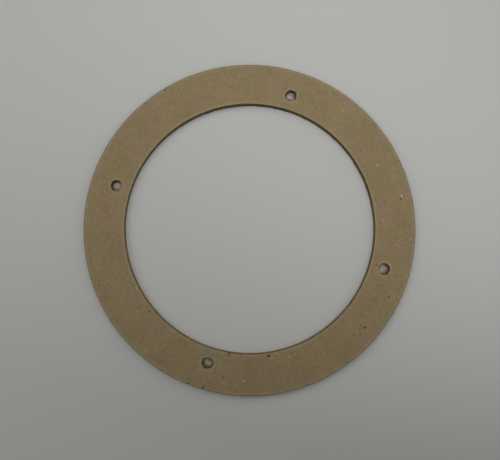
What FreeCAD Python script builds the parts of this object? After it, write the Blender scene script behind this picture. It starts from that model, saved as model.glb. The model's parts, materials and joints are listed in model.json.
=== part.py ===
import FreeCAD
import Part
import Sketcher
import os

# Flange gasket for the burner of a heater: one flat ring punched out of heat-proof
# millboard. It is clamped between the burner's flange and the heater's front plate, the
# burner's air tube passes through its bore, and bolts pass through its small holes.
# The board is brittle, so its upper edges are chipped in a few places.
#
# Frame: the ring lies on the XY plane with +Z up. The origin is the ring's centre on its
# lower face, and +X points at one of the bolt holes. Lengths are in millimetres.

SIZES = {
    "bore_diameter": (151.0, "opening for the air tube"),
    "bore_to_bolt": (9.0, "from the bore to the middle of each bolt hole"),
    "bolt_to_rim": (15.5, "from the middle of each bolt hole to the rim"),
    "sheet_thickness": (3.0, "millboard sheet"),
    "bolt_hole_diameter": (6.5, "clearance for a 6 mm bolt"),
    "bolt_hole_count": (4, "evenly spaced round the ring"),
    "edge_roll": (0.4, "where the die pressed down the rim and the bore"),
    "hole_bevel": (0.25, "where the punches crushed the mouths of the bolt holes"),
    "rim_chip_radius": (1.2, "bites out of the rim's upper edge"),
    "bore_chip_radius": (0.8, "bites out of the bore's upper edge"),
}

# Formulas over the sheet for the three circles that the ring is laid out on.
BORE_RADIUS = "(Sizes.bore_diameter / 2)"
BOLT_RADIUS = f"({BORE_RADIUS} + Sizes.bore_to_bolt)"
RIM_RADIUS = f"({BOLT_RADIUS} + Sizes.bolt_to_rim)"

# Where the edges are chipped, in degrees round from +X.
RIM_CHIPS = (39, 139, 147, 266, 271, 307, 316, 323)
BORE_CHIPS = (240, 278, 341)


def add_sizes(doc):
    """Spreadsheet of the driving dimensions, one row each: name, value, what it is."""
    sheet = doc.addObject("Spreadsheet::Sheet", "Sizes")
    for row, (alias, (value, meaning)) in enumerate(SIZES.items(), start=1):
        sheet.set(f"A{row}", alias)
        sheet.set(f"B{row}", str(value))
        sheet.set(f"C{row}", meaning)
        sheet.setAlias(f"B{row}", alias)
    doc.recompute()
    return sheet


def origin_feature(body, role):
    """Origin plane or axis of a body, by its role."""
    return next(f for f in body.Origin.OriginFeatures if f.Role == role)


def sketch_on_base(body, name):
    """Empty sketch on the plane of the ring's lower face."""
    sketch = body.newObject("Sketcher::SketchObject", name)
    sketch.AttachmentSupport = [(origin_feature(body, "XY_Plane"), "")]
    sketch.MapMode = "FlatFace"
    return sketch


def bind(sketch, constraint, name, formula):
    """Names a constraint of the sketch and lets it follow the sheet."""
    sketch.renameConstraint(constraint, name)
    sketch.setExpression(f"Constraints.{name}", formula)


def add_circle(sketch, name, centre_x, radius):
    """Circle round a point of the X axis. Both lengths are formulas over the sheet."""
    place = sketch.evalExpression(centre_x)
    size = sketch.evalExpression(radius)
    curve = Part.Circle(FreeCAD.Vector(place, 0, 0), FreeCAD.Vector(0, 0, 1), size)
    circle = sketch.addGeometry(curve, False)
    constraint = sketch.addConstraint(Sketcher.Constraint("Radius", circle, size))
    bind(sketch, constraint, name, radius)
    return circle


def pad_sheet(body):
    """The blank ring: rim and bore on one centre, as thick as the sheet."""
    sketch = sketch_on_base(body, "RingOutline")
    for name, radius in (("rim", RIM_RADIUS), ("bore", BORE_RADIUS)):
        circle = add_circle(sketch, name, "0", radius)
        sketch.addConstraint(Sketcher.Constraint("Coincident", circle, 3, -1, 1))

    pad = body.newObject("PartDesign::Pad", "SheetPad")
    pad.Profile = sketch
    pad.setExpression("Length", "Sizes.sheet_thickness")
    body.Document.recompute()
    return pad


def punch_bolt_holes(body):
    """One hole on +X, punched through the sheet and repeated round the ring."""
    sketch = sketch_on_base(body, "BoltHoleOutline")
    circle = add_circle(sketch, "hole", BOLT_RADIUS, "(Sizes.bolt_hole_diameter / 2)")
    sketch.addConstraint(Sketcher.Constraint("PointOnObject", circle, 3, -1))
    place = sketch.evalExpression(BOLT_RADIUS)
    distance = sketch.addConstraint(Sketcher.Constraint("DistanceX", -1, 1, circle, 3, place))
    bind(sketch, distance, "from_centre", BOLT_RADIUS)

    pocket = body.newObject("PartDesign::Pocket", "BoltHole")
    pocket.Profile = sketch
    pocket.Type = "ThroughAll"
    pocket.Reversed = True
    body.Document.recompute()

    pattern = body.newObject("PartDesign::PolarPattern", "BoltCircle")
    pattern.Originals = [pocket]
    pattern.Axis = (origin_feature(body, "Z_Axis"), [""])
    pattern.Angle = 360
    pattern.setExpression("Occurrences", "Sizes.bolt_hole_count")
    body.Tip = pattern
    body.Document.recompute()
    return pattern


def cuts_of_upper_face(shape):
    """Outlines of the cuts in the ring's upper face, longest first: rim, bore, holes."""
    upper_face = max(shape.Faces, key=lambda face: face.CenterOfMass.z)
    return sorted(upper_face.Wires, key=lambda wire: wire.Length, reverse=True)


def soften_edges(body, base, kind, name, cuts, size_property, size):
    """Fillet or chamfer on the upper edges of those cuts, where the die came down."""
    edges = [edge for wire in cuts for edge in wire.Edges]
    names = [
        f"Edge{number}"
        for number, edge in enumerate(base.Shape.Edges, start=1)
        if any(edge.isSame(wanted) for wanted in edges)
    ]
    feature = body.newObject(kind, name)
    feature.Base = (base, names)
    feature.setExpression(size_property, size)
    body.Tip = feature
    body.Document.recompute()
    return feature


def chip_edge(body, name, angles, radius, centre_radius):
    """Round bites out of an upper edge. Each ball's middle lies just off the board."""
    for number, angle in enumerate(angles, start=1):
        ball = body.newObject("PartDesign::SubtractiveSphere", f"{name}{number}")
        ball.setExpression("Radius", radius)
        ball.setExpression("Placement.Base.x", f"{centre_radius} * cos({angle} deg)")
        ball.setExpression("Placement.Base.y", f"{centre_radius} * sin({angle} deg)")
        ball.setExpression("Placement.Base.z", "Sizes.sheet_thickness")
        body.Tip = ball
        body.Document.recompute()


def build_gasket(doc):
    """The whole gasket, which is a single piece of board."""
    body = doc.addObject("PartDesign::Body", "Gasket")
    body.Label = "gasket_ring"
    pad_sheet(body)
    holes = punch_bolt_holes(body)
    rim_and_bore = cuts_of_upper_face(holes.Shape)[:2]
    rolled = soften_edges(
        body, holes, "PartDesign::Fillet", "EdgeRoll", rim_and_bore, "Radius", "Sizes.edge_roll"
    )
    bolt_holes = cuts_of_upper_face(rolled.Shape)[2:]
    soften_edges(
        body, rolled, "PartDesign::Chamfer", "HoleBevel", bolt_holes, "Size", "Sizes.hole_bevel"
    )

    past_rim = f"({RIM_RADIUS} + Sizes.rim_chip_radius / 2)"
    chip_edge(body, "RimChip", RIM_CHIPS, "Sizes.rim_chip_radius", past_rim)
    inside_bore = f"({BORE_RADIUS} - Sizes.bore_chip_radius / 2)"
    chip_edge(body, "BoreChip", BORE_CHIPS, "Sizes.bore_chip_radius", inside_bore)
    return body


def check_document(doc, pieces):
    """Stops the build where a feature failed or a piece isn't a valid closed solid."""
    for feature in doc.Objects:
        if {"Invalid", "Error"} & set(feature.State):
            raise RuntimeError(f"{feature.Label} failed: {feature.State}")
    for piece in pieces:
        shape = piece.Shape
        if shape.isNull() or not shape.isValid() or len(shape.Solids) != 1:
            raise RuntimeError(f"{piece.Label} isn't one valid solid")


def main():
    doc = FreeCAD.newDocument("BurnerGasket")
    add_sizes(doc)
    pieces = [build_gasket(doc)]
    doc.recompute()
    check_document(doc, pieces)

    os.makedirs("parts", exist_ok=True)
    for piece in pieces:
        piece.Shape.exportStep(f"parts/{piece.Label}.step")
        print(f"{piece.Label}: {piece.Shape.Volume / 1000:.2f} cm3")


main()
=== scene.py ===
import json
import math
import bpy
import numpy as np
from mathutils import Matrix, Vector, noise
from mathutils.bvhtree import BVHTree


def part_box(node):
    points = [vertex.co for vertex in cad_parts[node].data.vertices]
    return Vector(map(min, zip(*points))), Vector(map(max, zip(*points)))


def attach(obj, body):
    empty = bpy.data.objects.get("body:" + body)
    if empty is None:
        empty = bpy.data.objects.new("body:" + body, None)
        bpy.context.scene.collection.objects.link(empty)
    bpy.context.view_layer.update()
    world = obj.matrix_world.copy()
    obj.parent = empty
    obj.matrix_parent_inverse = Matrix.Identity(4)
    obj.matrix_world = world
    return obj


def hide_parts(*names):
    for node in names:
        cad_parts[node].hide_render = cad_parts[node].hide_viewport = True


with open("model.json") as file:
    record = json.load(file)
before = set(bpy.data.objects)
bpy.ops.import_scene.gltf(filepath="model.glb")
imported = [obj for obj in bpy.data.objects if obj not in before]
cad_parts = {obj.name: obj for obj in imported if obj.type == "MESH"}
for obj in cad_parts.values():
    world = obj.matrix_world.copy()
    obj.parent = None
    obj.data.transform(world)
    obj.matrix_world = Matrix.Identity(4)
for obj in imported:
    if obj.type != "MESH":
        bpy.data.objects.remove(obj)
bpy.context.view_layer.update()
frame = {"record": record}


# The gasket is one flat ring of heat-proof millboard, punched out of a 3 mm sheet by a die
# that came down on the face that now lies upwards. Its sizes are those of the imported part,
# and lengths stay in millimetres until a mesh is made.
METRE = 1000.0
low_corner, high_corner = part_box("gasket_ring")
rim_radius = min(*high_corner.xy, *-low_corner.xy) * METRE
thickness = high_corner.z * METRE
mounts = {mount["name"]: mount["dims"] for mount in frame["record"]["mounts"]}
bore_radius = mounts["bore"]["r_mm"]
bolt_radius = mounts["bolt_circle"]["pcd_mm"] / 2
hole_radius = mounts["bolt_circle"]["hole_r_mm"]
hole_count = mounts["bolt_circle"]["count"]
edge_roll = 0.3
hole_bevel = 0.25
lower_bevel = 0.1
# The punches tore the last plies, so the bore and the holes narrow at the foot, evenly by a
# burr and unevenly by a torn lip. The widest lip is where the bore was cut last.
bore_burr = 0.04
bore_lip = 0.12
widest_lip = 0.75
widest_lip_angle = 85
hole_burr = 0.15
hole_lip = 0.4

# The mesh has columns round the ring and rows across it, about half a millimetre apart.
COLUMNS = 1200
UPPER_ROWS = 46
ROLL_STEPS = 4
WALL_STEPS = 7
# Round each bolt hole a square patch of the grid, that many cells to each side of the hole's
# middle, gives way to rings that close in on the hole.
PATCH = 9
PATCH_RINGS = 5


def cross_section():
    """Stations round the ring's cross-section, as radius, height and outward normal, and the
    rows of the upper and the lower face that cross the patches, from the bore outwards.

    The stations start at the bore end of the upper face and go over the rim, back along the
    lower face and up the bore."""
    upper = np.linspace(bore_radius + edge_roll, rim_radius - edge_roll, UPPER_ROWS + 1)
    patch_start = int(np.argmin(abs(upper - bolt_radius))) - PATCH
    patch_end = patch_start + 2 * PATCH
    stations = [(radius, thickness, 0, 1) for radius in upper]

    def roll(middle, side, steps):
        for step in steps:
            turn = math.radians(90) * step / ROLL_STEPS
            out, up = side * math.sin(turn), math.cos(turn)
            stations.append(
                (middle + edge_roll * out, thickness - edge_roll * (1 - up), out, up)
            )

    wall_top = thickness - edge_roll
    wall = np.linspace(wall_top, lower_bevel, WALL_STEPS + 1)
    bore_foot = bore_radius - bore_burr
    roll(rim_radius - edge_roll, 1, range(1, ROLL_STEPS + 1))
    stations += [(rim_radius, height, 1, 0) for height in wall[1:]]
    # The lower face is plain and has few rows: outside the patches, across them and inside.
    outside = np.linspace(rim_radius - lower_bevel, upper[patch_end], 4)
    across = np.linspace(upper[patch_end], upper[patch_start], 4)
    inside = np.linspace(upper[patch_start], bore_foot + lower_bevel, 3)
    lower = np.concatenate([outside, across[1:], inside[1:]])
    lower_patch_end = len(stations) + len(outside) - 1
    stations += [(radius, 0, 0, -1) for radius in lower]
    for height in wall[:0:-1]:
        torn = bore_burr * (1 - height / wall_top) ** 1.5
        stations.append((bore_radius - torn, height, -1, 0))
    roll(bore_radius + edge_roll, -1, range(ROLL_STEPS, 0, -1))
    patch_rows = list(range(patch_start, patch_end + 1))
    lower_patch_rows = [lower_patch_end + row for row in reversed(range(len(across)))]
    return np.array(stations), patch_rows, lower_patch_rows


def zip_loops(outer, inner, outer_turn, inner_turn):
    """Triangles that face down between two loops, which start at about the same angle."""
    triangles = []
    i = j = 0
    while i < len(outer) or j < len(inner):
        outer_next = outer[(i + 1) % len(outer)]
        inner_next = inner[(j + 1) % len(inner)]
        if j == len(inner) or (i < len(outer) and outer_turn(i + 1) <= inner_turn(j + 1)):
            triangles.append((inner[j % len(inner)], outer_next, outer[i % len(outer)]))
            i += 1
        else:
            triangles.append((inner[j % len(inner)], inner_next, outer[i % len(outer)]))
            j += 1
    return triangles


def ring_grid():
    """Points, outward normals and faces of the ring before any wear, with its holes."""
    stations, patch_rows, lower_patch_rows = cross_section()
    count = len(stations)
    angles = np.arange(COLUMNS) * 2 * math.pi / COLUMNS
    radius, height, out, up = stations.T
    across = np.stack([np.cos(angles), np.sin(angles)], axis=1)
    points = np.zeros((COLUMNS, count, 3))
    points[..., :2] = across[:, None, :] * radius[None, :, None]
    points[..., 2] = height
    normals = np.zeros((COLUMNS, count, 3))
    normals[..., :2] = across[:, None, :] * out[None, :, None]
    normals[..., 2] = up
    points, normals = points.reshape(-1, 3), normals.reshape(-1, 3)

    def at(column, station):
        return (column % COLUMNS) * count + station

    column, station = np.meshgrid(np.arange(COLUMNS), np.arange(count), indexing="ij")
    after = (station + 1) % count
    quads = np.stack(
        [at(column, station), at(column, after), at(column + 1, after), at(column + 1, station)],
        axis=-1,
    )
    kept = np.ones((COLUMNS, count), bool)
    extra_points, extra_normals, extra_faces = [], [], []
    lower_patch = sorted(lower_patch_rows)

    for hole in range(hole_count):
        middle = hole * COLUMNS // hole_count
        columns = np.arange(middle - PATCH, middle + PATCH + 1)
        kept[np.ix_(columns[:-1] % COLUMNS, patch_rows[:-1])] = False
        kept[np.ix_(columns[:-1] % COLUMNS, lower_patch[:-1])] = False

        def patch_loop(rows):
            """The patch's boundary, anticlockwise from above, from its corner at the bore."""
            first, last = columns[0], columns[-1]
            return (
                [at(first, row) for row in rows[:-1]]
                + [at(c, rows[-1]) for c in columns[:-1]]
                + [at(last, row) for row in rows[:0:-1]]
                + [at(c, rows[0]) for c in columns[:0:-1]]
            )

        loop = patch_loop(patch_rows)
        hole_angle = angles[middle]
        axis = np.array([math.cos(hole_angle), math.sin(hole_angle), 0]) * bolt_radius
        turns = math.radians(225) + np.arange(len(loop)) * 2 * math.pi / len(loop) + hole_angle
        around = np.stack([np.cos(turns), np.sin(turns), np.zeros(len(loop))], axis=1)
        mouth = axis + around * (hole_radius + hole_bevel)
        mouth[:, 2] = thickness

        # The patch's rings lie closer together near the hole.
        rings = []
        for ring in range(1, PATCH_RINGS + 1):
            share = (ring / PATCH_RINGS) ** 0.8
            rings.append((points[loop] * (1 - share) + mouth * share, np.array([[0, 0, 1.0]])))
        wall_top = thickness - hole_bevel
        for level in np.linspace(wall_top, 0, WALL_STEPS + 2):
            torn = hole_burr * (1 - level / wall_top) ** 1.5
            wall_ring = axis + around * (hole_radius - torn)
            wall_ring[:, 2] = level
            # The wall's first ring looks mostly up, so that the bevel keeps the face's colour.
            up = 0.8 if level == wall_top else 0
            rings.append((wall_ring, np.array([[0, 0, up]]) - around * math.sqrt(1 - up * up)))

        outer = loop
        for ring_points, ring_normals in rings:
            start = len(points) + sum(len(p) for p in extra_points)
            inner = list(range(start, start + len(loop)))
            extra_points.append(ring_points)
            extra_normals.append(np.broadcast_to(ring_normals, ring_points.shape))
            for j in range(len(loop)):
                k = (j + 1) % len(loop)
                extra_faces.append((outer[j], outer[k], inner[k], inner[j]))
            outer = inner

        lower_loop = patch_loop(lower_patch_rows)
        offsets = points[lower_loop] - axis
        bearing = np.arctan2(offsets[:, 1], offsets[:, 0]) - turns[0]
        bearing = (bearing + 0.5) % (2 * math.pi) - 0.5
        bearing = np.append(bearing, 2 * math.pi + bearing[0])
        step = 2 * math.pi / len(loop)
        extra_faces += zip_loops(
            lower_loop, outer, lambda i: bearing[i], lambda j: j * step
        )

    faces = [tuple(quad) for quad in quads[kept].tolist()] + extra_faces
    points = np.concatenate([points] + extra_points)
    normals = np.concatenate([normals] + extra_normals)
    return drop_unused(points, normals, faces)


def drop_unused(points, normals, faces):
    """Leaves out the points that the hole patches cut away."""
    used = np.unique(np.concatenate([np.array(face) for face in faces]))
    number = np.full(len(points), -1)
    number[used] = np.arange(len(used))
    return points[used], normals[used], [tuple(number[list(face)]) for face in faces]


def smooth(value):
    """Eases from 0 to 1 as the value goes from 0 to 1."""
    value = np.clip(value, 0, 1)
    return value * value * (3 - 2 * value)


def crumble(points, scale, octaves=3, seed=0.0):
    """Uneven value from 0 to 1 at each point, with lumps of about that many millimetres."""
    shift = Vector((seed, seed * 2, seed * 3))
    size = Vector(np.broadcast_to(scale, 3))
    falling_off = 0.8
    times_finer = 2.1
    values = []
    for x, y, z in points:
        place = Vector((x / size.x, y / size.y, z / size.z)) + shift
        values.append(noise.fractal(place, falling_off, times_finer, octaves))
    return np.clip(np.array(values) * 0.55 + 0.5, 0, 1)


# Wear of the board, at angles in degrees from +X. Chips are round bites out of the upper
# edges, as angle and how much painted shade each gets, from 0 to 1. Pits are lost lumps of
# filler, as angle, radius, half width and depth, with painted shade that grows with depth.
RIM_CHIPS = (
    (39, 0.55), (139, 0.85), (147, 0.65), (266, 0.75),
    (271, 0.8), (307, 0.05), (316, 0.35), (323, 0.5),
)
BORE_CHIPS = ((240, 0.4), (278, 0.8), (341, 0.35))
rim_chip_radius = 1.2
bore_chip_radius = 0.8
PITS = (
    (295.6, 77.4, 0.85, 1.0), (336.1, 91.2, 0.60, 0.8), (27.9, 93.2, 0.56, 0.8),
    (277.1, 90.7, 0.70, 0.28), (350.6, 93.1, 0.60, 0.26), (0.8, 79.9, 0.50, 0.4),
    (75.1, 96.9, 0.55, 0.22), (223.5, 95.6, 0.50, 0.15), (237.4, 78.5, 0.50, 0.3),
    (239.1, 84.4, 0.60, 0.12), (182.4, 89.0, 0.55, 0.1), (218.4, 96.6, 0.55, 0.17),
    (216.7, 95.8, 0.50, 0.14), (19.5, 79.2, 0.55, 0.14), (112.9, 93.6, 0.50, 0.16),
    (334.2, 89.6, 0.45, 0.15), (271.0, 98.2, 0.60, 0.4), (277.9, 77.0, 0.55, 0.6),
    (93.3, 87.1, 0.45, 0.25),
)
# The depth at which a pit gets all its painted shade.
full_shade_depth = 0.3
SMALL_PITS = 230
# Bruised places, as angle, radius, spread and how many small pits and flakes each has.
BRUISES = (
    (273.2, 91.6, 1.7, 9), (266.2, 78.4, 2.2, 8), (180.5, 91.7, 2.2, 6), (90.0, 78.2, 1.8, 6),
    (42.5, 87.5, 2.6, 8), (334.5, 89.6, 2.2, 8), (1.2, 79.0, 1.6, 5), (190.6, 89.0, 4.5, 14),
)
# How far the mesh's points are drawn in at a pit, as a share of their distance from it.
CROWDING = 0.45
# Nibbles are smaller bites out of the rim, most of them on its worn side, and out of the
# mouths of the bolt holes. They get less painted shade than a chip.
RIM_NIBBLES = 22
WORN_SIDE_NIBBLES = 26
WORN_SIDE = 295
WORN_SPREAD = 25
nibble_shade = 0.6
MOUTH_NIBBLES = 7
mouth_shade = 0.5
# Unevenness of the face, as grain and swells, and of the cuts, as grain and lost lumps. The
# die cut the rim more cleanly than the bore and the holes.
face_grain_depth = 0.04
face_swell_depth = 0.03
cut_grain_depth = 0.16
cut_lump_depth = 0.2
rim_roughness = 0.6
# Height of the torn plies' foot, above which the cuts are only rough.
torn_height = 1.8
# Width of the darker band along the rim.
rim_band_width = 0.6


def polar(angle, radius, height=0.0):
    """Point of the ring at that angle in degrees."""
    turn = math.radians(angle)
    return np.array([radius * math.cos(turn), radius * math.sin(turn), height])


def hole_distance(points):
    """Distance of each point from the nearest bolt hole's wall."""
    middles = [polar(360 * hole / hole_count, bolt_radius) for hole in range(hole_count)]
    gaps = [np.hypot(points[:, 0] - m[0], points[:, 1] - m[1]) - hole_radius for m in middles]
    return np.min(gaps, axis=0)


def edge_distance(points):
    """Distance of each point from the nearest cut, be it rim, bore or bolt hole."""
    radius = np.hypot(points[:, 0], points[:, 1])
    return np.minimum(np.minimum(rim_radius - radius, radius - bore_radius), hole_distance(points))


def scattered(count, margin, seed):
    """Random places on the upper face, at least that far from every cut, in loose patches."""
    draw = np.random.default_rng(seed)
    patch_width = 9
    places = []
    while len(places) < count:
        radius = math.sqrt(draw.uniform(bore_radius ** 2, rim_radius ** 2))
        place = polar(draw.uniform(0, 360), radius, thickness)
        spot = Vector((place[0] / patch_width, place[1] / patch_width, seed))
        crowded = noise.noise(spot) * 1.6 + 0.5
        if edge_distance(place[None])[0] > margin and draw.random() < crowded:
            places.append(place)
    return np.array(places)


def bruised(seed):
    """Random places on the upper face in the bruises, none of them at a cut."""
    draw = np.random.default_rng(seed)
    places = []
    for angle, radius, spread, count in BRUISES:
        for place in polar(angle, radius, thickness) + draw.normal(0, spread, (count, 3)):
            place[2] = thickness
            if edge_distance(place[None])[0] > 0.7:
                places.append(place)
    return np.array(places)


def crowd(points, upper, middle, reach):
    """Draws the mesh in towards a small mark, so that it has enough points there."""
    gap = points[:, :2] - middle[:2]
    share = np.hypot(gap[:, 0], gap[:, 1]) / reach
    near = upper & (share < 1)
    drawn = CROWDING + (1 - CROWDING) * smooth(share[near])
    points[near, :2] = middle[:2] + gap[near] * drawn[:, None]


def bite(points, middle, radius, seed):
    """Pushes what lies inside an uneven ball out to the ball's surface."""
    gap = points - middle
    length = np.linalg.norm(gap, axis=1)
    inside = (length < radius * 1.2) & (length > 1e-6)
    size = radius * (0.8 + 0.4 * crumble(points[inside], 0.7, seed=seed))
    grown = np.maximum(size / length[inside], 1)
    points[inside] = middle + gap[inside] * grown[:, None]
    return inside


def worn_ring():
    """The ring's mesh data with pits, chips and rough cuts, and what the paint needs."""
    points, normals, faces = ring_grid()
    upper = (normals[:, 2] > 0.99) & (points[:, 2] > thickness - 0.01)
    cut = smooth(1 - abs(normals[:, 2]))
    painted_pit_shade = np.zeros(len(points))
    depth = np.zeros(len(points))

    draw = np.random.default_rng(7)
    pits = [(polar(angle, radius), size, drop) for angle, radius, size, drop in PITS]
    # The face is crushed just inside each chip of the rim, with as much painted shade as the chip.
    for angle, chip_shade in RIM_CHIPS:
        pits.append((polar(angle, rim_radius - 1), 0.55, full_shade_depth * chip_shade))
    for place in np.concatenate([scattered(SMALL_PITS, 1.0, seed=11), bruised(seed=13)]):
        share = draw.random() ** 3
        size = 0.18 + 0.2 * share
        drop = 0.05 + 0.17 * share
        pits.append((place, size, drop))
    for middle, size, drop in pits:
        reach = min(3.2 * size, edge_distance(middle[None])[0] - 0.1)
        crowd(points, upper, middle, reach)
    # Each pit sinks the face and gets painted shade, darker the deeper it is.
    for number, (middle, size, drop) in enumerate(pits):
        near = upper & (np.hypot(*(points[:, :2] - middle[:2]).T) < 2 * size)
        gap = np.hypot(*(points[near, :2] - middle[:2]).T)
        ragged = size * (0.7 + 0.6 * crumble(points[near], size, seed=number))
        share = smooth(1.25 - gap / ragged)
        depth[near] = np.maximum(depth[near], drop * share)
        painted_pit_shade[near] = np.maximum(painted_pit_shade[near], share * min(1, drop / full_shade_depth))

    swells = crumble(points, 6.0, seed=5.0)
    face_grain = face_grain_depth * crumble(points, 1.1) + face_swell_depth * swells
    cut_grain = cut_grain_depth * crumble(points, (0.9, 0.9, 0.4), seed=2.0) ** 2
    cut_lumps = crumble(points, (2.2, 2.2, 1.2), seed=9.0)
    cut_grain += cut_lump_depth * smooth(cut_lumps * 4 - 2.6)
    radius = np.hypot(points[:, 0], points[:, 1])
    cut_grain[radius > (bolt_radius + rim_radius) / 2] *= rim_roughness
    turned = np.arctan2(points[:, 1], points[:, 0]) - math.radians(widest_lip_angle)
    uneven = bore_lip + (widest_lip - bore_lip) * smooth(0.5 + 0.5 * np.cos(turned)) ** 4
    at_bore = np.where(radius < bore_radius + 1, uneven, 0)
    lip = np.where(hole_distance(points) < 1, hole_lip, at_bore)
    foot = smooth(1 - points[:, 2] / torn_height)
    torn = lip * foot * crumble(points, (0.9, 0.9, 0.6), seed=14.0)
    depth += (1 - cut) * face_grain + cut * (cut_grain * (1 - foot) - torn)
    # Painted light: the cuts on the side opposite the bore's widest lip are painted paler, as if lit
    # more.
    painted_lit_side = smooth(0.5 - 0.5 * np.cos(turned))
    edge = edge_distance(points)
    # Painted shade: the walls of the bolt holes are marked to be painted darker.
    painted_hole_shade = cut * (edge == hole_distance(points))
    points = points - normals * depth[:, None]

    past_rim = rim_radius + rim_chip_radius / 2
    inside_bore = bore_radius - bore_chip_radius / 2
    bites = []
    for angle, chip_shade in RIM_CHIPS:
        bites.append((polar(angle, past_rim, thickness), rim_chip_radius, chip_shade))
    for angle, chip_shade in BORE_CHIPS:
        bites.append((polar(angle, inside_bore, thickness), bore_chip_radius, chip_shade))
    anywhere = draw.uniform(0, 360, RIM_NIBBLES)
    worn_side = draw.normal(WORN_SIDE, WORN_SPREAD, WORN_SIDE_NIBBLES)
    for angle in np.append(anywhere, worn_side):
        middle = polar(angle, rim_radius + 0.1, thickness)
        bites.append((middle, draw.uniform(0.35, 0.65), nibble_shade))
    for hole in range(hole_count):
        axis = polar(360 * hole / hole_count, bolt_radius, thickness)
        for angle in draw.uniform(0, 360, MOUTH_NIBBLES):
            middle = axis + polar(angle, hole_radius)
            bites.append((middle, draw.uniform(0.3, 0.55), mouth_shade))
    # Each bite pushes the edge in and gets painted shade in its hollow.
    for number, (middle, radius, chip_shade) in enumerate(bites):
        bitten = bite(points, middle, radius, seed=number)
        painted_pit_shade[bitten] = np.maximum(painted_pit_shade[bitten], chip_shade)
    rim = 1 - (rim_radius - np.hypot(points[:, 0], points[:, 1])) / rim_band_width
    values = {
        "cut": cut,
        "painted_pit_shade": painted_pit_shade,
        "edge": np.clip(edge, 0, 5),
        "painted_hole_shade": painted_hole_shade,
        "rim": np.clip(rim, 0, 1),
        "painted_lit_side": painted_lit_side,
    }
    return points, faces, values


def add_mesh(name, points, faces, values):
    """Object with that mesh, from millimetres, and one value for each point and name."""
    mesh = bpy.data.meshes.new(name)
    mesh.from_pydata((np.asarray(points) / METRE).tolist(), [], faces)
    for key, numbers in values.items():
        attribute = mesh.attributes.new(key, "FLOAT", "POINT")
        attribute.data.foreach_set("value", np.asarray(numbers, np.float32))
    mesh.validate()
    mesh.shade_smooth()
    piece = bpy.data.objects.new(name, mesh)
    bpy.context.scene.collection.objects.link(piece)
    return piece


ring_points, ring_faces, ring_values = worn_ring()
gasket = add_mesh("gasket_board", ring_points, ring_faces, ring_values)
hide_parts("gasket_ring")
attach(gasket, "root")


# The board's finish: tan mineral fibre, matt and cloudy in faintly olive and pinkish patches,
# with a fine grain and pale and dark specks. Its cuts are dark and show the sheet's plies, and
# the face next to them is rubbed pale in places.
def add_node(tree, kind, inputs=(), **settings):
    """Node of that kind. An input takes a value or a socket to link from."""
    node = tree.nodes.new(kind)
    for name, value in settings.items():
        setattr(node, name, value)
    for name, value in dict(inputs).items():
        if isinstance(value, bpy.types.NodeSocket):
            tree.links.new(value, node.inputs[name])
        else:
            node.inputs[name].default_value = value
    return node


def calculate(tree, operation, first, second=0.0, clamp=False):
    """Sum, product or other operation on two numbers."""
    node = add_node(tree, "ShaderNodeMath", {0: first, 1: second}, operation=operation)
    node.use_clamp = clamp
    return node.outputs[0]


def product(tree, first, second):
    """Product of two numbers."""
    return calculate(tree, "MULTIPLY", first, second)


def blend_colours(tree, share, first, second, mode="MIX"):
    """Colour between the two, or their product and so on in other modes."""
    inputs = {0: share, 6: first, 7: second}
    node = add_node(tree, "ShaderNodeMix", inputs, data_type="RGBA", blend_type=mode)
    return node.outputs[2]


def shade_colour(tree, colour, shade):
    """The colour made lighter or darker by that factor."""
    grey = add_node(tree, "ShaderNodeCombineColor", {0: shade, 1: shade, 2: shade})
    return blend_colours(tree, 1.0, colour, grey.outputs[0], "MULTIPLY")


def remap(tree, value, low, high, new_low=0.0, new_high=1.0):
    """Stretches a range of the value to another one, and stops at its ends."""
    names = ("From Min", "From Max", "To Min", "To Max")
    inputs = dict(zip(names, (low, high, new_low, new_high)))
    return add_node(tree, "ShaderNodeMapRange", {"Value": value, **inputs}).outputs[0]


def lumps(tree, point, size, detail=3.0, rough=0.55):
    """Noise with lumps of about that many millimetres, mostly between 0.3 and 0.7."""
    inputs = {"Vector": point, "Scale": 1 / size, "Detail": detail, "Roughness": rough}
    return add_node(tree, "ShaderNodeTexNoise", inputs).outputs["Fac"]


def surface_point(tree):
    """Place on the piece in millimetres."""
    place = add_node(tree, "ShaderNodeTexCoord").outputs["Object"]
    inputs = {0: place, "Scale": METRE}
    return add_node(tree, "ShaderNodeVectorMath", inputs, operation="SCALE").outputs[0]


def value_of(tree, name):
    """A value that the mesh holds for each of its points."""
    return add_node(tree, "ShaderNodeAttribute", attribute_name=name).outputs["Fac"]


def new_group(name, inputs, output):
    """Empty shader node group with those inputs and one output."""
    group = bpy.data.node_groups.new(name, "ShaderNodeTree")
    for label, kind in inputs:
        group.interface.new_socket(label, in_out="INPUT", socket_type=kind)
    group.interface.new_socket(output[0], in_out="OUTPUT", socket_type=output[1])
    given = group.nodes.new("NodeGroupInput").outputs
    result = group.nodes.new("NodeGroupOutput").inputs[output[0]]
    return group, given, result


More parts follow.
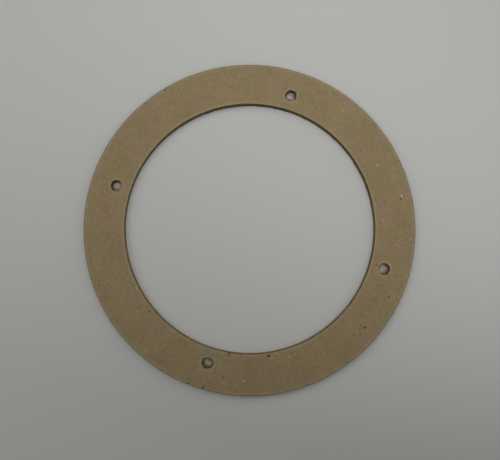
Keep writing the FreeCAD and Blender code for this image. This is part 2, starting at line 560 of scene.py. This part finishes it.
def specks_group():
    """Sparse uneven specks: a cell of the pattern holds one where its chance is met."""
    inputs = [("Point", "NodeSocketVector")]
    inputs += [(name, "NodeSocketFloat") for name in ("Spacing", "Size", "Share")]
    group, given, result = new_group("sparse_specks", inputs, ("Mask", "NodeSocketFloat"))
    spacing = given["Spacing"]
    cell = add_node(group, "ShaderNodeCombineXYZ", {0: spacing, 1: spacing, 2: spacing}).outputs[0]
    # The point is shifted unevenly by up to about a speck's width, so that none is round.
    waves = 2.2
    furthest = 1.3
    inputs = {"Vector": given["Point"], "Scale": waves, "Detail": 3.0}
    uneven = add_node(group, "ShaderNodeTexNoise", inputs).outputs["Color"]
    inputs = {0: uneven, 1: (furthest, furthest, furthest), 2: given["Point"]}
    shifted = add_node(group, "ShaderNodeVectorMath", inputs, operation="MULTIPLY_ADD").outputs[0]
    inputs = {0: shifted, 1: cell}
    scaled = add_node(group, "ShaderNodeVectorMath", inputs, operation="DIVIDE").outputs[0]
    cells = add_node(group, "ShaderNodeTexVoronoi", {"Vector": scaled, "Scale": 1.0})
    chance = add_node(group, "ShaderNodeSeparateColor", {0: cells.outputs["Color"]}).outputs
    gap = product(group, cells.outputs["Distance"], spacing)
    own_size = product(group, given["Size"], remap(group, chance[1], 0, 1, 0.5, 1.0))
    spot = calculate(group, "SUBTRACT", 1.0, calculate(group, "DIVIDE", gap, own_size), True)
    present = calculate(group, "LESS_THAN", chance[0], given["Share"])
    edge = calculate(group, "MULTIPLY", spot, 2.5, True)
    group.links.new(product(group, edge, present), result)
    return group


def cloudy_group():
    """The board's colour: two tans in patches, made uneven in shade down to its fine grain."""
    inputs = [("Point", "NodeSocketVector")]
    inputs += [(name, "NodeSocketColor") for name in ("First", "Second")]
    group, given, result = new_group("cloudy_board", inputs, ("Colour", "NodeSocketColor"))
    point = given["Point"]
    patches = remap(group, lumps(group, point, 9.0, 5.0, 0.6), 0.38, 0.62)
    colour = blend_colours(group, patches, given["First"], given["Second"])
    shade = 1.0
    for size, strength in ((22.0, 0.22), (8.0, 0.18), (3.0, 0.20), (1.3, 0.24), (0.5, 0.5)):
        uneven = calculate(group, "SUBTRACT", lumps(group, point, size, 2.0), 0.5)
        shade = calculate(group, "ADD", shade, product(group, uneven, strength))
    group.links.new(shade_colour(group, colour, shade), result)
    return group


specks = specks_group()
cloudy = cloudy_group()
# Colours of the board, in linear red, green and blue.
OLIVE_TAN = (0.364, 0.288, 0.144, 1)
PINK_TAN = (0.396, 0.283, 0.163, 1)
RUBBED_TAN = (0.50, 0.41, 0.28, 1)
PALE_MICA = (0.60, 0.52, 0.36, 1)
FIBRE_TAN = (0.54, 0.40, 0.21, 1)
DARK_SPECK = (0.14, 0.095, 0.045, 1)
# Painted shade for the pits, chips and nibbles.
PAINTED_PIT_SHADE_COLOUR = (0.035, 0.026, 0.012, 1)
CUT_BROWN = (0.138, 0.099, 0.042, 1)


def board_material():
    """Finish of the millboard, from the values that its mesh holds."""
    material = bpy.data.materials.new("millboard")
    material.use_nodes = True
    tree = material.node_tree
    tree.nodes.clear()
    point = surface_point(tree)

    def spots(spacing, size, share):
        """Mask of specks, from their spacing and half width in millimetres and how many."""
        node = add_node(tree, "ShaderNodeGroup", node_tree=specks)
        tree.links.new(point, node.inputs["Point"])
        for name, value in (("Spacing", spacing), ("Size", size), ("Share", share)):
            node.inputs[name].default_value = value
        return node.outputs["Mask"]

    board = add_node(tree, "ShaderNodeGroup", node_tree=cloudy)
    tree.links.new(point, board.inputs["Point"])
    board.inputs["First"].default_value = OLIVE_TAN
    board.inputs["Second"].default_value = PINK_TAN
    colour = board.outputs["Colour"]
    pale_specks = product(tree, spots(2.2, 0.45, 0.4), 0.5)
    colour = blend_colours(tree, pale_specks, colour, PALE_MICA)
    dark_specks = product(tree, spots(2.3, 0.45, 0.4), 0.75)
    colour = blend_colours(tree, dark_specks, colour, DARK_SPECK)

    # Near a cut the face is rubbed pale, most of all this many millimetres from it.
    rubbed_most = 0.9
    edge = value_of(tree, "edge")
    away = calculate(tree, "DIVIDE", calculate(tree, "SUBTRACT", edge, rubbed_most), rubbed_most)
    rubbed = calculate(tree, "SUBTRACT", 1.0, calculate(tree, "ABSOLUTE", away), True)
    patchy = remap(tree, lumps(tree, point, 1.6), 0.35, 0.65, 0.15, 0.7)
    colour = blend_colours(tree, product(tree, rubbed, patchy), colour, RUBBED_TAN)
    # Right at a cut the face is brown in places, and along the rim it is darker in a band.
    patchy = remap(tree, lumps(tree, point, 2.2), 0.4, 0.6, 0.2, 0.9)
    edge_darkening = product(tree, remap(tree, edge, 0.05, 0.5, 1.0, 0.0), patchy)
    colour = blend_colours(tree, edge_darkening, colour, CUT_BROWN)
    patchy = remap(tree, lumps(tree, point, 1.4), 0.35, 0.6, 0.15, 0.8)
    rim_darkening = product(tree, value_of(tree, "rim"), patchy)
    colour = blend_colours(tree, rim_darkening, colour, CUT_BROWN)

    # The cuts show the plies, with painted shade in the bolt holes and painted light on the side
    # opposite the bore's widest lip.
    plies = add_node(tree, "ShaderNodeMapping", {"Vector": point, "Scale": (0.7, 0.7, 3.5)})
    ply_shade = remap(tree, lumps(tree, plies.outputs[0], 1.0), 0.3, 0.7, 0.6, 1.5)
    # Painted shade on the walls of the bolt holes.
    painted_hole_darkening = remap(tree, value_of(tree, "painted_hole_shade"), 0, 1, 1, 0.75)
    ply_shade = product(tree, ply_shade, painted_hole_darkening)
    painted_light_factor = remap(tree, value_of(tree, "painted_lit_side"), 0, 1, 0.95, 1.45)
    ply_shade = product(tree, ply_shade, painted_light_factor)
    cut = value_of(tree, "cut")
    colour = blend_colours(tree, cut, colour, shade_colour(tree, CUT_BROWN, ply_shade))
    # Painted shade in the pits, chips and nibbles.
    painted_pit_darkening = product(tree, value_of(tree, "painted_pit_shade"), 0.95)
    colour = blend_colours(tree, painted_pit_darkening, colour, PAINTED_PIT_SHADE_COLOUR)

    roughness = remap(tree, lumps(tree, point, 0.8), 0.3, 0.7, 0.84, 0.96)
    fibres = calculate(tree, "ADD", lumps(tree, point, 0.35, 5.0, 0.7), lumps(tree, point, 1.1))
    height = calculate(tree, "ADD", fibres, product(tree, ply_shade, cut))
    inputs = {"Strength": 0.8, "Distance": 0.09 / METRE, "Height": height}
    bump = add_node(tree, "ShaderNodeBump", inputs).outputs[0]
    inputs = {"Base Color": colour, "Roughness": roughness, "Normal": bump, "Specular IOR Level": 0.3}
    surface = add_node(tree, "ShaderNodeBsdfPrincipled", inputs).outputs[0]
    add_node(tree, "ShaderNodeOutputMaterial", {"Surface": surface})
    return material


gasket.data.materials.append(board_material())


# Mineral pressed into the face: short fibres and thin flakes of mica and filler that stand a
# few hundredths of a millimetre proud of the board. The palest flake lies at a pit's edge.
FIBRES = 1100
FIBRE_STEPS = 5
FLAKES = 240
flake_rise = 0.02
pale_flake_rise = 0.05
# Flakes that stand out, as angle, radius, half width, half length, the way they lie and tone.
PALE_FLAKES = (
    (29.05, 93.75, 0.5, 1.0, 112, 2.0),
    (20.1, 80.7, 0.5, 0.6, 0, 1.4),
    (2.4, 87.0, 0.45, 0.6, 40, 1.4),
    (43.3, 86.3, 0.55, 0.7, 60, 1.3),
    (304.5, 80.6, 0.4, 0.7, 120, 1.4),
    (296.9, 78.6, 0.4, 0.5, 0, 1.4),
    (24.6, 85.5, 0.4, 0.5, 90, 1.4),
    (277.4, 93.6, 0.22, 1.3, 107, 1.4),
    (285.1, 91.2, 0.5, 0.6, 20, 1.4),
    (28.3, 94.05, 0.2, 1.0, 110, 1.3),
)
board_tree = BVHTree.FromPolygons(ring_points.tolist(), ring_faces)


def face_height(x, y):
    """Height of the worn face there."""
    hit = board_tree.ray_cast(Vector((x, y, thickness + 1)), Vector((0, 0, -1)))[0]
    return hit.z if hit else 0.0


class Mineral:
    """Mesh of many small closed bodies, each with its own tone."""

    def __init__(self):
        self.points = []
        self.faces = []
        self.tones = []

    def add(self, points, faces, tone):
        """Takes in one body, kept between the floor and the level of the board's face."""
        start = len(self.points)
        self.points += [(x, y, min(max(z, 0.0), thickness)) for x, y, z in points]
        self.faces += [tuple(start + corner for corner in face) for face in faces]
        self.tones += [tone] * len(points)

    def strand(self, line, radii, sides, tone, flat=1.0):
        """Thin strand along a line, closed at both ends, and flattened in height."""
        points = []
        for number, (middle, radius) in enumerate(zip(line, radii)):
            ahead = line[min(number + 1, len(line) - 1)] - line[max(number - 1, 0)]
            aside = Vector((-ahead.y, ahead.x, 0)).normalized()
            above = ahead.cross(aside).normalized()
            if above.z < 0:
                above.negate()
            for side in range(sides):
                turn = 2 * math.pi * side / sides
                sideways = aside * (radius * math.cos(turn))
                upwards = above * (radius * flat * math.sin(turn))
                points.append(middle + sideways + upwards)
        faces = []
        for row in range(len(line) - 1):
            for side in range(sides):
                one, other = row * sides + side, row * sides + (side + 1) % sides
                faces.append((one, one + sides, other + sides, other))
        faces.append(tuple(range(sides)))
        faces.append(tuple(reversed(range((len(line) - 1) * sides, len(line) * sides))))
        self.add([tuple(point) for point in points], faces, tone)

    def flake(self, place, width, length, heading, tone, draw, rise):
        """Thin uneven flake with a raised middle, its rim sunk in the face and closed below."""
        corners = draw.integers(6, 9)
        base = face_height(place[0], place[1])
        even_turns = np.arange(corners) * 2 * math.pi / corners
        turns = np.sort(draw.uniform(-0.3, 0.3, corners) + even_turns)
        lie = math.radians(heading)
        points = []
        for share, lift in ((1.0, -0.02), (0.75, rise)):
            for turn in turns:
                reach = share * draw.uniform(0.65, 1.1)
                ahead, aside = reach * length * math.cos(turn), reach * width * math.sin(turn)
                x = place[0] + ahead * math.cos(lie) - aside * math.sin(lie)
                y = place[1] + ahead * math.sin(lie) + aside * math.cos(lie)
                points.append((x, y, base + lift))
        points += [(place[0], place[1], base + rise), (place[0], place[1], base - 0.1)]
        faces = []
        for j in range(corners):
            k = (j + 1) % corners
            faces += [(j, k, corners + k, corners + j), (corners + j, corners + k, 2 * corners)]
            faces.append((k, j, 2 * corners + 1))
        self.add(points, faces, tone)


def pressed_mineral():
    """All the fibres and flakes of the face."""
    mineral = Mineral()
    draw = np.random.default_rng(23)
    for place in scattered(FIBRES, 1.2, seed=31):
        heading = draw.uniform(0, 2 * math.pi)
        bend = draw.uniform(-0.5, 0.5)
        length = draw.uniform(0.6, 2.4)
        width = draw.uniform(0.07, 0.18)
        x, y = place[0], place[1]
        line, radii = [], []
        for step in range(FIBRE_STEPS + 1):
            share = step / FIBRE_STEPS
            line.append(Vector((x, y, face_height(x, y))))
            radii.append(width * (0.25 + 0.75 * math.sin(math.pi * share)))
            heading += bend / FIBRE_STEPS
            x += length / FIBRE_STEPS * math.cos(heading)
            y += length / FIBRE_STEPS * math.sin(heading)
        if edge_distance(np.array([[x, y, 0]]))[0] < 0.6:
            continue
        mineral.strand(line, radii, 5, draw.random(), flat=0.3)
    for place in np.concatenate([scattered(FLAKES, 1.0, seed=41), bruised(seed=43)]):
        size = draw.uniform(0.18, 0.42)
        heading = draw.uniform(0, 360)
        tone = draw.random() ** 0.7
        mineral.flake(place, size, size * 1.3, heading, tone, draw, flake_rise)
    for angle, radius, width, length, heading, tone in PALE_FLAKES:
        place = polar(angle, radius)
        mineral.flake(place, width, length, heading, tone, draw, pale_flake_rise)
    return mineral


# Colours of the flecks, from dark over light to the palest.
fleck_colours = ((0.24, 0.18, 0.095, 1), (0.55, 0.455, 0.275, 1), (0.95, 0.92, 0.80, 1))


def mineral_material(name, dark, light, palest):
    """Finish of loose mineral, from dark over light to the palest by its tone of 0 to 2."""
    material = bpy.data.materials.new(name)
    material.use_nodes = True
    tree = material.node_tree
    tree.nodes.clear()
    point = surface_point(tree)
    tone = value_of(tree, "tone")
    board = add_node(tree, "ShaderNodeGroup", node_tree=cloudy)
    tree.links.new(point, board.inputs["Point"])
    board.inputs["First"].default_value = dark
    board.inputs["Second"].default_value = dark
    bright = blend_colours(tree, remap(tree, tone, 1.0, 2.0), light, palest)
    colour = blend_colours(tree, remap(tree, tone, 0.25, 0.7), board.outputs["Colour"], bright)
    colour = shade_colour(tree, colour, remap(tree, lumps(tree, point, 0.3), 0.3, 0.7, 0.85, 1.15))
    roughness = remap(tree, lumps(tree, point, 0.4), 0.3, 0.7, 0.55, 0.9)
    inputs = {"Strength": 0.5, "Distance": 0.03 / METRE, "Height": lumps(tree, point, 0.15)}
    bump = add_node(tree, "ShaderNodeBump", inputs).outputs[0]
    inputs = {"Base Color": colour, "Roughness": roughness, "Normal": bump, "Specular IOR Level": 0.4}
    surface = add_node(tree, "ShaderNodeBsdfPrincipled", inputs).outputs[0]
    add_node(tree, "ShaderNodeOutputMaterial", {"Surface": surface})
    return material


mineral = pressed_mineral()
flecks = add_mesh("pressed_mineral", mineral.points, mineral.faces, {"tone": mineral.tones})
flecks.data.materials.append(mineral_material("mineral_flecks", *fleck_colours))
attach(flecks, "root")


# Frayed fibres: the punches pulled short hairs out of the cut edges, round the rim, in the
# bore and in the bolt holes. One stiff splinter stands out of the rim.
RIM_HAIRS = 420
BORE_HAIRS = 320
HOLE_HAIRS = 70
longest_edge_hair = 0.7
longest_hole_hair = 1.1
# Longer fibres hang across the bolt holes near the foot.
CROSSING_HAIRS = 64
# Places of the splinter's line and its radii there, and how far below the face it lies.
SPLINTER = ((-98.5, 5.5), (-99.15, 6.3), (-99.6, 7.2), (-99.83, 8.1), (-99.9, 9.1))
SPLINTER_RADII = (0.16, 0.18, 0.17, 0.12, 0.03)
splinter_drop = 0.2


def crossing_hair(mineral, middle, angle, draw):
    """Long curved hair from a bolt hole's torn foot out over the opening."""
    turn = math.radians(angle)
    reach = draw.uniform(0.9, 3.2)
    bend = draw.uniform(-1.4, 1.4)
    heading = turn + math.pi + draw.uniform(-0.7, 0.7)
    height = draw.uniform(0.12, 1.1)
    slope = draw.uniform(-0.1, 0.25)
    x = middle[0] + (hole_radius - 0.1) * math.cos(turn)
    y = middle[1] + (hole_radius - 0.1) * math.sin(turn)
    line, radii = [], []
    shares = (0, 0.15, 0.3, 0.45, 0.6, 0.75, 0.9, 1)
    step = reach / (len(shares) - 1)
    for share in shares:
        line.append(Vector((x, y, max(height + slope * share * reach, 0.07))))
        radii.append(0.075 * (1 - 0.7 * share * share))
        x += step * math.cos(heading + bend * share)
        y += step * math.sin(heading + bend * share)
    mineral.strand(line, radii, 5, draw.uniform(0.45, 1.0))


def frayed_hair(mineral, middle, wall_radius, angle, outward, longest, draw):
    """Hair from a round wall about that middle. Outward is 1 at the rim and -1 in an opening."""
    turn = math.radians(angle)
    away = Vector((math.cos(turn), math.sin(turn), 0)) * outward
    along = Vector((-math.sin(turn), math.cos(turn), 0)) * draw.uniform(-1.2, 1.2)
    height = 0.15 + (thickness - 0.4) * draw.random() ** 1.5
    root = Vector(middle) + away * (wall_radius * outward - 0.15) + Vector((0, 0, height))
    heading = (away + along + Vector((0, 0, draw.uniform(-0.6, 0.3)))).normalized()
    length = draw.uniform(0.25, longest)
    droop = Vector((0, 0, -draw.uniform(0, 0.15)))
    line = [root + heading * (length * s) + droop * (s * s) for s in (0, 0.3, 0.6, 0.85, 1)]
    widest = draw.uniform(0.03, 0.06)
    radii = [widest * size for size in (1, 1, 0.8, 0.5, 0.15)]
    inside_rim = max(max(abs(point.x), abs(point.y)) for point in line) + widest < rim_radius
    if inside_rim and min(point.z for point in line) > widest:
        mineral.strand(line, radii, 5, draw.random())


def frayed_edges():
    """All the hairs of the rim, the bore and the bolt holes, and the splinter."""
    mineral = Mineral()
    draw = np.random.default_rng(53)
    centre = (0, 0, 0)
    for angle in draw.uniform(0, 360, RIM_HAIRS):
        frayed_hair(mineral, centre, rim_radius - 0.05, angle, 1, longest_edge_hair, draw)
    for angle in draw.uniform(0, 360, BORE_HAIRS):
        frayed_hair(mineral, centre, bore_radius, angle, -1, longest_edge_hair, draw)
    for hole in range(hole_count):
        middle = polar(360 * hole / hole_count, bolt_radius)
        for angle in draw.uniform(0, 360, HOLE_HAIRS):
            frayed_hair(mineral, middle, hole_radius, angle, -1, longest_hole_hair, draw)
        for angle in draw.uniform(0, 360, CROSSING_HAIRS):
            crossing_hair(mineral, middle, angle, draw)

    line = [Vector((x, y, thickness - splinter_drop)) for x, y in SPLINTER]
    mineral.strand(line, SPLINTER_RADII, 6, 0.0)
    return mineral


frayed = frayed_edges()
hairs = add_mesh("frayed_fibres", frayed.points, frayed.faces, {"tone": frayed.tones})
hairs.data.materials.append(mineral_material("frayed_mineral", CUT_BROWN, FIBRE_TAN, PALE_MICA))
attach(hairs, "root")


# The floor is a plain pale sheet, matt and far wider than the picture. The gasket lies flat
# on it, and it is no part of the gasket.
FLOOR_SIDE = 30.0
half_side = FLOOR_SIDE / 2
floor_signs = ((-1, -1), (1, -1), (1, 1), (-1, 1))
floor_corners = [(x * half_side, y * half_side, 0) for x, y in floor_signs]
floor_mesh = bpy.data.meshes.new("floor")
floor_mesh.from_pydata(floor_corners, [], [(0, 1, 2, 3)])
floor = bpy.data.objects.new("floor", floor_mesh)
bpy.context.scene.collection.objects.link(floor)
floor_material = bpy.data.materials.new("pale_floor")
floor_material.use_nodes = True
floor_surface = floor_material.node_tree.nodes["Principled BSDF"].inputs
floor_surface["Base Color"].default_value = (0.745, 0.751, 0.72, 1)
floor_surface["Roughness"].default_value = 0.7
floor_surface["Specular IOR Level"].default_value = 0.2
floor.data.materials.append(floor_material)


# Light and camera. The camera looks down at the ring turned so that the bolt hole on +Y is
# up and to the right, and places are given along the picture's own axes.
PICTURE_TURN = math.radians(17.29)
across = Vector((math.cos(PICTURE_TURN), math.sin(PICTURE_TURN), 0))
upward = Vector((-math.sin(PICTURE_TURN), math.cos(PICTURE_TURN), 0))


def in_picture(right, up, height):
    """Point in metres, from millimetres right, up and off the ring's upper face."""
    return (across * right + upward * up) / METRE + Vector((0, 0, (height + thickness) / METRE))


# Each lamp's place, the way it faces for one step down, its side in metres and its power.
SOFTBOXES = {
    "left": ((-400, 100, 270), (0.95, -0.3), 0.35, 0.354),
    "right": ((315, 2, 420), (0.54, 1.97), 0.6, 0.841),
    "over": ((0, 200, 250), (0, -1), 0.3, 0.201),
}
for name, (place, facing, side, power) in SOFTBOXES.items():
    lamp_data = bpy.data.lights.new(name, "AREA")
    lamp_data.shape = "SQUARE"
    lamp_data.size = side
    lamp_data.energy = power
    lamp = bpy.data.objects.new(name, lamp_data)
    toward = across * facing[0] + upward * facing[1] + Vector((0, 0, -1))
    turned = toward.to_track_quat("-Z", "Y").to_matrix().to_4x4()
    lamp.matrix_world = Matrix.Translation(in_picture(*place)) @ turned
    lamp.visible_camera = False
    bpy.context.scene.collection.objects.link(lamp)

# A wide window far off to the upper right gives even light over the whole floor.
WINDOW_BEARING = math.radians(30)
WINDOW_HEIGHT = math.radians(13.4)
WINDOW_WIDTH = math.radians(25)
window_data = bpy.data.lights.new("window", "SUN")
window_data.angle = WINDOW_WIDTH
window_data.energy = 0.304
window = bpy.data.objects.new("window", window_data)
from_window = across * -math.cos(WINDOW_BEARING) - upward * math.sin(WINDOW_BEARING)
from_window += Vector((0, 0, -math.tan(WINDOW_HEIGHT)))
window.matrix_world = from_window.to_track_quat("-Z", "Y").to_matrix().to_4x4()
bpy.context.scene.collection.objects.link(window)

world = bpy.data.worlds.new("room")
world.use_nodes = True
world.node_tree.nodes["Background"].inputs["Color"].default_value = (1.0, 1.0, 0.99, 1)
world.node_tree.nodes["Background"].inputs["Strength"].default_value = 0.17
bpy.context.scene.world = world
bpy.context.scene.view_settings.view_transform = "Standard"

# The camera's place and the point that it looks at, as in_picture takes them.
EYE = (-1.17, -14.26, 250.1)
TARGET = (0.06, -1.69, 0)
PICTURE_WIDTH = 500
FOCAL_PIXELS = 416
SENSOR = 36.0
camera_data = bpy.data.cameras.new("camera")
camera_data.sensor_width = SENSOR
camera_data.lens = FOCAL_PIXELS / PICTURE_WIDTH * SENSOR
camera_data.clip_start = 0.01
camera = bpy.data.objects.new("camera", camera_data)
eye = in_picture(*EYE)
look = (in_picture(*TARGET) - eye).normalized()
right_hand = look.cross(upward).normalized()
turned = Matrix((right_hand, right_hand.cross(look), -look)).transposed()
camera.matrix_world = Matrix.Translation(eye) @ turned.to_4x4()
bpy.context.scene.collection.objects.link(camera)
bpy.context.scene.camera = camera
